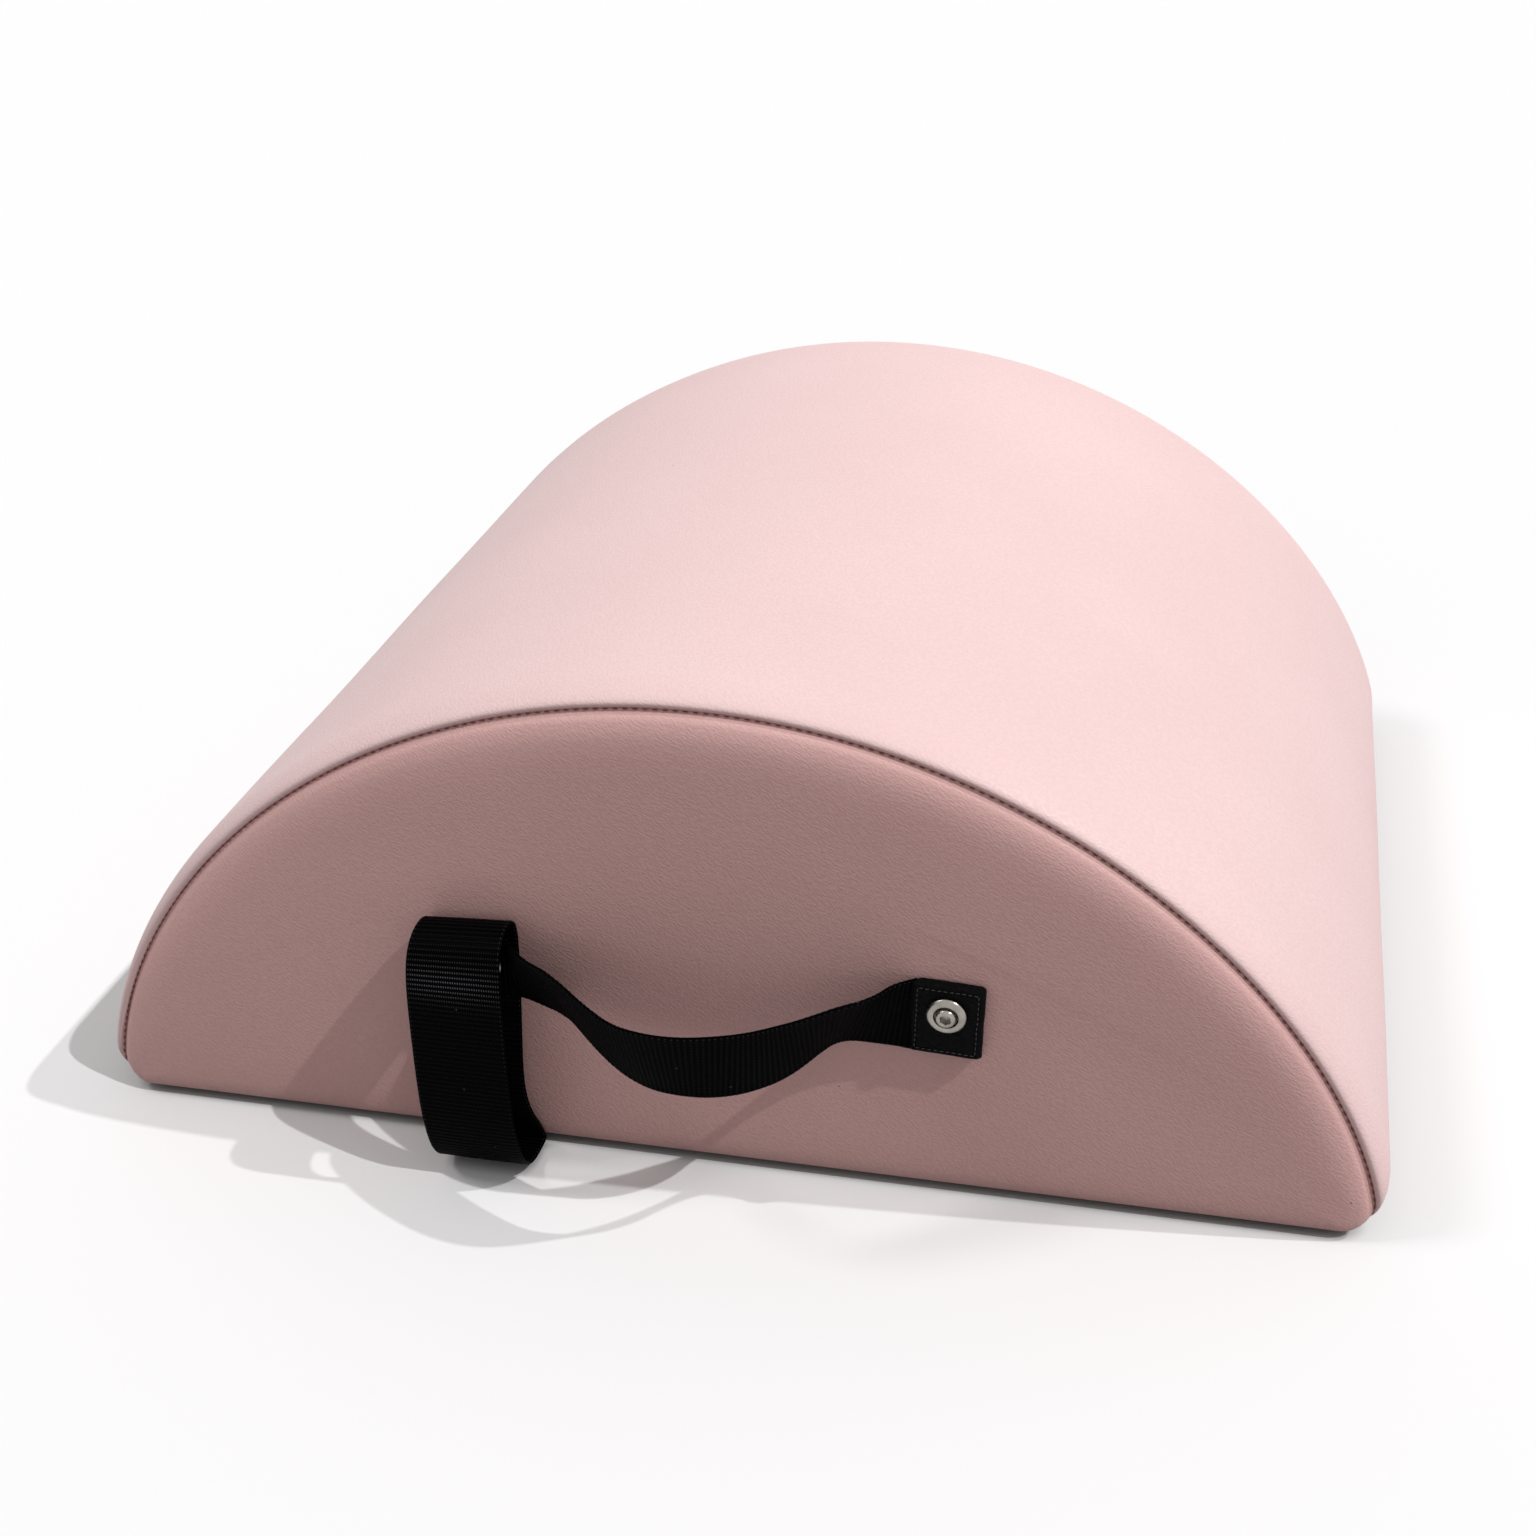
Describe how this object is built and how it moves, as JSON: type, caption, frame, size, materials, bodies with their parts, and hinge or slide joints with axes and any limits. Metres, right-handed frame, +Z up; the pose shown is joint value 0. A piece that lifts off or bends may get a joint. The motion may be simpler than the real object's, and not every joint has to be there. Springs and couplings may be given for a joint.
{
  "type": "pilates arc",
  "caption": "Padded half-round pilates arc on a plywood frame, covered in leatherette, with a bowed webbing handle and a hanging hand loop on its end panel.",
  "frame": {"origin": "on the floor, at the centre of the whole part's footprint with its straps", "axes": "+X along the arc's chord, to the right as seen from the strap end; +Y from the strap end to the plain end; +Z up"},
  "size_m": [0.6, 0.5448, 0.24],
  "materials": {
    "pink_leather": "soft pebbled leatherette, low sheen",
    "upholstery_foam": "open-cell foam",
    "birch_plywood": "sanded",
    "pine_batten": "planed",
    "black_non_woven": "matte non-woven",
    "black_webbing": "ribbed woven webbing, faint sheen",
    "black_rubber": "matte",
    "brushed_nickel": "brushed nickel plate",
    "zinc_plated_steel": "bright zinc plate"
  },
  "bodies": {
    "padded_body": {"base_board": "birch_plywood", "front_former": "birch_plywood", "middle_former": "birch_plywood", "rear_former": "birch_plywood", "arched_skin": "birch_plywood", "ridge_stringer": "pine_batten", "left_stringer": "pine_batten", "right_stringer": "pine_batten", "front_former_left_screw": "zinc_plated_steel", "front_former_right_screw": "zinc_plated_steel", "middle_former_left_screw": "zinc_plated_steel", "middle_former_right_screw": "zinc_plated_steel", "rear_former_left_screw": "zinc_plated_steel", "rear_former_right_screw": "zinc_plated_steel", "arch_foam_pad": "upholstery_foam", "front_end_pad": "upholstery_foam", "rear_end_pad": "upholstery_foam", "arch_cover": "pink_leather", "front_end_cover": "pink_leather", "rear_end_cover": "pink_leather", "dust_cover": "black_non_woven", "front_left_foot": "black_rubber", "front_right_foot": "black_rubber", "rear_left_foot": "black_rubber", "rear_right_foot": "black_rubber", "front_left_foot_screw": "zinc_plated_steel", "front_right_foot_screw": "zinc_plated_steel", "rear_left_foot_screw": "zinc_plated_steel", "rear_right_foot_screw": "zinc_plated_steel", "handle_left_end": "black_webbing", "handle_right_end": "black_webbing", "left_cup_washer": "brushed_nickel", "right_cup_washer": "brushed_nickel", "left_anchor_screw": "brushed_nickel", "right_anchor_screw": "brushed_nickel", "left_tee_nut": "zinc_plated_steel", "right_tee_nut": "zinc_plated_steel"},
    "handle_bow": {"handle_strap": "black_webbing"},
    "hand_loop_band": {"hand_loop": "black_webbing"}
  },
  "joints": [
    {"name": "handle_swing", "type": "hinge", "parent": "padded_body", "child": "handle_bow", "pos_m": [0.01135, -0.217, 0.1045], "axis": [-1, 0, 0], "range_deg": [-20, 65]},
    {"name": "loop_swivel", "type": "hinge", "parent": "padded_body", "child": "hand_loop_band", "pos_m": [-0.0915, -0.2152, 0.1065], "axis": [0, -1, 0], "range_deg": [-8, 8]}
  ]
}
